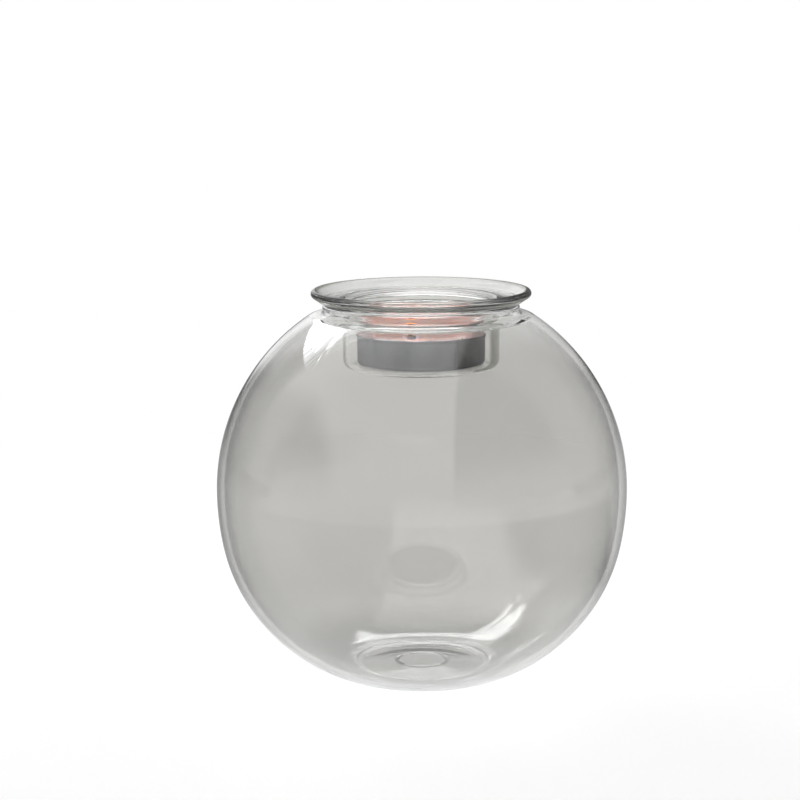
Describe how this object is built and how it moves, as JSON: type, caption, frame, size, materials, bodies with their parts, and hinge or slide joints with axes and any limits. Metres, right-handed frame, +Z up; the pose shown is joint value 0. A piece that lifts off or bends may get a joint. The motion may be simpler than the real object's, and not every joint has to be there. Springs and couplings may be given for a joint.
{
  "type": "glass candle holder with lid",
  "caption": "Round blown glass globe with a flared glass lid whose hanging cup holds a small candle in a metal cup.",
  "frame": {"origin": "centre of the ring that the globe stands on, at the level of the surface under it", "axes": "+Z up along the axis of the globe, -Y towards the melted front of the wax, +X to the right of it"},
  "size_m": [0.1248, 0.1246, 0.1184],
  "materials": {
    "globe_glass": "blown and fire polished, lightly smoked grey",
    "lid_glass": "clear, fire polished rim",
    "candle_metal": "pressed thin sheet, satin",
    "wax": "pink candle wax, waxy, partly melted",
    "wick_thread": "charred cotton",
    "wick_metal": "thin tinned sheet"
  },
  "bodies": {
    "root": {"globe": "globe_glass", "lid": "lid_glass", "candle_cup": "candle_metal", "candle_wax": "wax", "wick": "wick_thread", "wick_foot": "wick_metal"}
  },
  "joints": []
}
